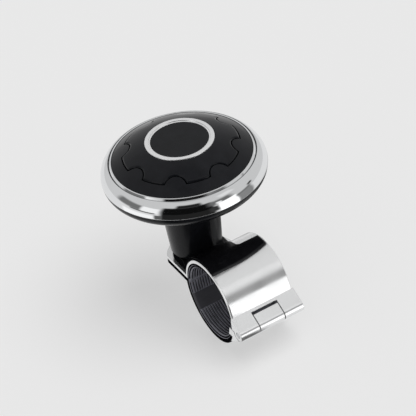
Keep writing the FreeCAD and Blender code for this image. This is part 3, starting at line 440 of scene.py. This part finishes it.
def spun(rings, closed):
    """A mesh of rings about the spin axis: the last joins the first, or both ends are fans."""
    shape = bmesh.new()
    rows = [[shape.verts.new(metres(SPIN_X + x, SPIN_Y + y, z)) for x, y, z in ring]
            for ring in rings]
    for inner, outer in zip(rows, rows[1:]):
        join_rings(shape, inner, outer)
    if closed:
        join_rings(shape, rows[-1], rows[0])
    else:
        for row, height in ((rows[0], rings[0][0][2]), (rows[-1], rings[-1][0][2])):
            middle = shape.verts.new(metres(SPIN_X, SPIN_Y, height))
            for index in range(len(row)):
                shape.faces.new((row[index], row[(index + 1) % len(row)], middle))
    return mesh_of(shape, "rings")


def lathe(profile):
    """A closed profile of (radius, height), turned."""
    return spun([[(radius * x, radius * y, height) for x, y in circle(TURN_STEPS)]
                 for radius, height in profile], True)


def rim_profile():
    """The ring's section: lip round the dome, groove, tube and flat foot."""
    centre = (RING_OUT - RING_TUBE, RIM_Z - RING_SINK)
    lip_out, lip_top = DOME_EDGE + LIP_WIDTH, RIM_Z + LIP_RISE
    groove_out, groove_floor = DOME_EDGE + GROOVE_REACH, RIM_Z - GROOVE_DEPTH
    start = math.acos((groove_out - centre[0]) / RING_TUBE)
    groove_top = centre[1] + RING_TUBE * math.sin(start)
    lip = rounded([
        (DOME_EDGE, RING_SEAT, LIP_ROUND), (DOME_EDGE, lip_top, LIP_ROUND),
        (lip_out, lip_top, LIP_ROUND), (groove_out - GROOVE_LAND, groove_floor, 0.1),
        (groove_out, groove_floor, 0.05), (groove_out, groove_top - TUBE_DROP, 0)])
    tube = arc(centre, RING_TUBE, math.degrees(start) - TUBE_BACK, TUBE_END, TUBE_STEPS)
    foot = [(RING_OUT, RING_FOOT + FOOT_UP), (RING_OUT - FOOT_IN, RING_FOOT),
            (RING_IN, RING_FOOT), (RING_IN, RING_SEAT)]
    return lip + tube + foot


def emblem_profile():
    """The silver ring's section, with the step at its inner edge."""
    top = EMBLEM_FLOOR + EMBLEM_HEIGHT
    return rounded([
        (EMBLEM_IN, EMBLEM_FLOOR, 0), (EMBLEM_R, EMBLEM_FLOOR, 0), (EMBLEM_R, top, 0.3),
        (EMBLEM_IN + EMBLEM_STEP, top, 0.15),
        (EMBLEM_IN + EMBLEM_STEP * STEP_SHARE, top - STEP_DROP, 0.1),
        (EMBLEM_IN, top - INNER_DROP, 0.1)])


def gear_outline(radius, scallop, corner):
    """Closed outline of the cap's lobes: points with their outward normals."""
    centre_reach = radius - corner
    cosine = (centre_reach ** 2 + SCALLOP_CIRCLE ** 2 - (scallop + corner) ** 2) / (
        2 * centre_reach * SCALLOP_CIRCLE)
    swing = math.degrees(math.acos(cosine))
    middle = ray(swing) * centre_reach
    hollow = Vector((SCALLOP_CIRCLE, 0))
    lean = math.degrees(math.atan2(middle.y, middle.x - hollow.x))
    pitch = 360 / SCALLOP_COUNT
    half = []
    for step in range(HOLLOW_STEPS + 1):
        way = ray(180 + (lean - 180) * step / HOLLOW_STEPS)
        half.append((hollow + way * scallop, -way))
    for step in range(1, LOBE_STEPS + 1):
        way = ray(lean - 180 + (swing - lean + 180) * step / LOBE_STEPS)
        half.append((middle + way * corner, way))
    for step in range(1, CREST_STEPS + 1):
        way = ray(swing + (pitch / 2 - swing) * step / CREST_STEPS)
        half.append((way * radius, way))
    whole = [(Vector((p.x, -p.y)), Vector((n.x, -n.y))) for p, n in reversed(half[1:-1])]
    whole += half
    outline = []
    for index in range(SCALLOP_COUNT):
        spin = Matrix.Rotation(math.radians(SCALLOP_TURN + index * pitch), 2)
        outline += [(spin @ p, spin @ n) for p, n in whole]
    return outline


def gear_cap():
    """The lobed cap, from the middle of its underside over its rounded edge to its hole."""
    outline = gear_outline(CAP_R, SCALLOP_R, LOBE_ROUND)
    border = [p for p, n in outline]
    inside = dome(CAP_R, -CAP_THICK) + CAP_ARCH
    rings = [[(p.x * 0.5, p.y * 0.5, inside) for p in border],
             on_dome(border, -CAP_THICK), on_dome(border, CAP_PROUD, CAP_ROUND)]
    for step in range(1, EDGE_STEPS + 1):
        angle = math.radians(90 * step / EDGE_STEPS)
        back = CAP_ROUND * (1 - math.cos(angle))
        rings.append(on_dome([p - n * back for p, n in outline], CAP_PROUD,
                             CAP_ROUND * (1 - math.sin(angle))))
    hole = EMBLEM_R + EMBLEM_GAP
    hole_top = dome(hole, CAP_PROUD)
    starts = [p - n * CAP_ROUND for p, n in outline]
    for step in range(1, TOP_STEPS + 1):
        rings.append(on_dome([start.lerp(start.normalized() * (hole + HOLE_LAND),
                                         step / TOP_STEPS) for start in starts], CAP_PROUD))
    ways = [p.normalized() for p in border]
    for radius, height in ((hole + 0.04, hole_top - 0.05), (hole, hole_top - 0.18),
                           (hole, EMBLEM_FLOOR)):
        rings.append([(radius * way.x, radius * way.y, height) for way in ways])
    return spun(rings, False)


add_piece("rim_ring", lathe(rim_profile()), "chrome_ring")
add_piece("silver_ring", lathe(emblem_profile()), "emblem_ring")
add_piece("lobed_cap", gear_cap(), "gear_cap")


# Rubber liners: the record's solids with finer ribs and bevelled mouths

BORE_R, RIB_FLOOR, HALF_WIDTH, RIB_COUNT = 14.7, 15.25, 13.85, 24
NEAR_MOUTH, FAR_MOUTH = 0.8, 0.2
# A rib's section: places along the bore, and depths under the crest
RIB_SECTION = [(-0.4, 0.66), (-0.33, 0.3), (-0.2, 0.06), (0, 0), (0.2, 0.06), (0.33, 0.3),
               (0.4, 0.66)]
RIB_STEP, RIB_END_DEPTH = 3, 0.35
WELD, SHARP_ANGLE = 1e-7, 35

# Where the ribs run, in degrees round the bore, and the (x, z) sections of the plain borders
UPPER_ARCS = [(5.4, 175.0)]
UPPER_BORDERS = [[(16.55, 1.6), (15.0, 1.6), (14.75, 1.2), (15.3, -1.6), (15.5, -1.9),
                  (16.1, -1.9), (16.3, -1.7)]]
LOWER_ARCS = [(178.9, 200.7), (227.8, 350.6)]
LOWER_BORDERS = [[(15.2, -2.3), (14.7, -2.3), (14.55, -2.5), (14.45, -3.0), (14.55, -3.3),
                  (15.1, -3.4)]]


def bore_cutter():
    """What the bore is cleared with: a cylinder to the ribs' floor, wider at both mouths."""
    reach = HALF_WIDTH + 1
    profile = [(-reach, RIB_FLOOR + NEAR_MOUTH + 1), (NEAR_MOUTH - HALF_WIDTH, RIB_FLOOR),
               (HALF_WIDTH - FAR_MOUTH, RIB_FLOOR), (reach, RIB_FLOOR + FAR_MOUTH + 1)]
    shape = bmesh.new()
    run_along(shape, [[shape.verts.new(metres(radius * x, y, radius * z))
                       for x, z in circle(BORE_STEPS)] for y, radius in profile])
    return mesh_of(shape, "bore_cut")


def add_rib(shape, y, start, end):
    """One rib: a low rounded bar along an arc of the bore, angles in degrees."""
    steps = max(4, int((end - start) / RIB_STEP))
    rows = []
    for step in range(steps + 1):
        angle = math.radians(start + (end - start) * step / steps)
        least = RIB_END_DEPTH if step in (0, steps) else 0.0
        row = []
        for across, depth in RIB_SECTION:
            spot = y + across
            flare = max(0.0, NEAR_MOUTH - HALF_WIDTH - spot, spot - HALF_WIDTH + FAR_MOUTH)
            radius = BORE_R + flare + max(depth, least)
            row.append(shape.verts.new(metres(radius * math.cos(angle), spot,
                                              radius * math.sin(angle))))
        rows.append(row)
    run_along(shape, rows)


def rib_mesh(arcs, borders):
    """The ribs, and the plain borders at the liner's edge by the hinge."""
    shape = bmesh.new()
    pitch = 2 * HALF_WIDTH / RIB_COUNT
    for index in range(RIB_COUNT):
        for start, end in arcs:
            add_rib(shape, (index + 0.5) * pitch - HALF_WIDTH, start, end)
    for section in borders:
        run_along(shape, [[shape.verts.new(metres(x, y, z)) for x, z in section]
                          for y in (NEAR_MOUTH - HALF_WIDTH, HALF_WIDTH - FAR_MOUTH)])
    return mesh_of(shape, "ribs")


def bored(name, node):
    """The node's solid with its own ribs cleared away."""
    shape = bmesh.new()
    shape.from_mesh(nodes[node].data)
    bmesh.ops.remove_doubles(shape, verts=shape.verts, dist=WELD)
    plain = add_object(name + "_plain", mesh_of(shape, name, facing_out=False))
    cutter = add_object("bore_cut", bore_cutter())
    cut = plain.modifiers.new("bore", "BOOLEAN")
    cut.object = cutter
    cut.operation = "DIFFERENCE"
    cut.solver = "EXACT"
    bpy.context.view_layer.update()
    depsgraph = bpy.context.evaluated_depsgraph_get()
    mesh = bpy.data.meshes.new_from_object(plain.evaluated_get(depsgraph))
    for item in (plain, cutter):
        bpy.data.objects.remove(item)
    return mesh


def ribbed_liner(name, node, body, arcs, borders):
    mesh = bored(name, node)
    shape = bmesh.new()
    shape.from_mesh(mesh)
    shape.from_mesh(rib_mesh(arcs, borders))
    shape.to_mesh(mesh)
    shape.free()
    mesh.materials.clear()
    mesh.materials.append(looks[slots[node]].material)
    for face in mesh.polygons:
        face.use_smooth = True
        face.material_index = 0
    mesh.set_sharp_from_angle(angle=math.radians(SHARP_ANGLE))
    piece = add_object(name, mesh)
    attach(piece, body)
    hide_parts(node)


ribbed_liner("ribbed_upper_liner", "upper_liner", "clamp_frame", UPPER_ARCS, UPPER_BORDERS)
ribbed_liner("ribbed_lower_liner", "lower_liner", "lower_jaw", LOWER_ARCS, LOWER_BORDERS)


# Floor, backdrop and light.  Lengths are in metres again, angles in degrees.

# Panels of the studio that gloss and metal show: azimuth, elevation, half sizes, edge, level
PANELS = [(-30, -8, 34, 46, 4, 0.006), (3, -8, 6, 12, 3, 0.03), (-66, -18, 5, 9, 2, 0.1),
          (-28, 44, 19, 9, 4, 0.02), (15, 24, 17, 11, 6, 0.2), (23, -11, 13, 26, 2, 1.5),
          (12, 19, 4, 5, 2, 1.2), (34, 47, 12, 7, 4, 1.0), (48, -12, 12, 20, 3, 0.25),
          (61, 13, 4, 4, 2, 0.06), (108, -46, 34, 14, 8, 0.25), (-108, 14, 18, 13, 5, 0.22),
          (-79, 14, 12, 14, 3, 1.25), (-92, -22, 21, 10, 3, 1.05), (-88, -1, 17, 3, 2, 0.15)]
STUDIO_LEVEL, OVERHEAD_LEVEL, OVERHEAD_START, OVERHEAD_FULL = 0.78, 0.5, 70, 80
# The point that the floor's panels are placed round, in the middle of the head
STUDIO_CENTRE = metres(SPIN_X, SPIN_Y, 45)
WORLD_LEVEL, BACKDROP_LEVEL = 0.5, 0.81

FLOOR_HALF, FLOOR_GAP = 3.0, 0.0003
FLOOR_SHADE, FLOOR_ROUGH, FLOOR_LEVEL = 0.82, 0.9, 0.91
# Share of the even level in what the camera sees, and of the panels in what gloss shows
SEEN_PALE, SEEN_STUDIO = 0.5, 0.985

SUN_POWER, SUN_SPREAD, SUN_FROM = 1.55, 50, (0.22, 0.24, 0.94)


def away(tree, value, centre):
    """How far a value is from this centre, whichever way."""
    return math_node(tree, "ABSOLUTE", math_node(tree, "SUBTRACT", value, centre))


def studio_level(tree, direction):
    """How bright the studio is in a direction, as gloss and metal show it."""
    parts = tree.nodes.new("ShaderNodeSeparateXYZ")
    tree.links.new(direction, parts.inputs[0])
    turn = math_node(tree, "ARCTAN2", parts.outputs["Y"], parts.outputs["X"])
    azimuth = math_node(tree, "DEGREES", turn)
    elevation = math_node(tree, "DEGREES", math_node(tree, "ARCSINE", parts.outputs["Z"]))
    level = map_range(tree, elevation, OVERHEAD_START, OVERHEAD_FULL,
                      STUDIO_LEVEL, OVERHEAD_LEVEL, "SMOOTHSTEP")
    for side, rise, half_side, half_rise, edge, target in PANELS:
        across, along = [
            map_range(tree, away(tree, value, centre), half - edge, half + edge, 1, 0,
                      "SMOOTHSTEP")
            for value, centre, half in ((azimuth, side, half_side), (elevation, rise, half_rise))]
        inside = math_node(tree, "MULTIPLY", across, along)
        change = math_node(tree, "SUBTRACT", target, level)
        level = math_node(tree, "ADD", level, math_node(tree, "MULTIPLY", inside, change))
    return level


def light_node(tree, kind, strength):
    """Output of an emission or background node; its strength is a number or a socket."""
    node = tree.nodes.new(kind)
    if isinstance(strength, float):
        node.inputs["Strength"].default_value = strength
    else:
        tree.links.new(strength, node.inputs["Strength"])
    return node.outputs[0]


def studio_world():
    """Plain light on the object, a pale backdrop, and the panels in its reflections."""
    world = bpy.data.worlds.new("studio")
    bpy.context.scene.world = world
    world.use_nodes = True
    tree = world.node_tree
    tree.nodes.clear()
    way = tree.nodes.new("ShaderNodeTexCoord").outputs["Generated"]
    path = tree.nodes.new("ShaderNodeLightPath")
    last = light_node(tree, "ShaderNodeBackground", WORLD_LEVEL)
    for ray_kind, strength in (("Is Camera Ray", BACKDROP_LEVEL),
                               ("Is Glossy Ray", studio_level(tree, way))):
        last = mix_shaders(tree, path.outputs[ray_kind], last,
                           light_node(tree, "ShaderNodeBackground", strength))
    tree.links.new(last, tree.nodes.new("ShaderNodeOutputWorld").inputs["Surface"])


def floor_look():
    """Matt floor, pale to the camera; gloss and metal show the studio's panels in it."""
    look = Look("floor", (FLOOR_SHADE,) * 3, 0.0, FLOOR_ROUGH).set(Specular_IOR_Level=0.0)
    tree = look.tree
    way = tree.nodes.new("ShaderNodeVectorMath")
    way.operation = "SUBTRACT"
    tree.links.new(tree.nodes.new("ShaderNodeNewGeometry").outputs["Position"], way.inputs[0])
    way.inputs[1].default_value = STUDIO_CENTRE
    unit = tree.nodes.new("ShaderNodeVectorMath")
    unit.operation = "NORMALIZE"
    tree.links.new(way.outputs[0], unit.inputs[0])
    path = tree.nodes.new("ShaderNodeLightPath")
    last = look.shader.outputs[0]
    for ray_kind, share, strength in (
            ("Is Camera Ray", SEEN_PALE, FLOOR_LEVEL),
            ("Is Glossy Ray", SEEN_STUDIO, studio_level(tree, unit.outputs[0]))):
        last = mix_shaders(tree, math_node(tree, "MULTIPLY", path.outputs[ray_kind], share), last,
                           light_node(tree, "ShaderNodeEmission", strength))
    tree.links.new(last, tree.nodes["Material Output"].inputs["Surface"])
    return look.material


studio_world()
floor_mesh = bpy.data.meshes.new("floor")
floor_mesh.from_pydata([(x * FLOOR_HALF, y * FLOOR_HALF, 0)
                        for x, y in ((-1, -1), (1, -1), (1, 1), (-1, 1))], [], [(0, 1, 2, 3)])
floor_mesh.materials.append(floor_look())
floor = add_object("floor", floor_mesh)
floor.location = (0, 0, cad_low.z - FLOOR_GAP)

sun = bpy.data.lights.new("overhead", "SUN")
sun.energy = SUN_POWER
sun.angle = math.radians(SUN_SPREAD)
lamp = add_object("overhead", sun)
lamp.rotation_euler = Vector(SUN_FROM).to_track_quat("Z", "Y").to_euler()
lamp.visible_glossy = False
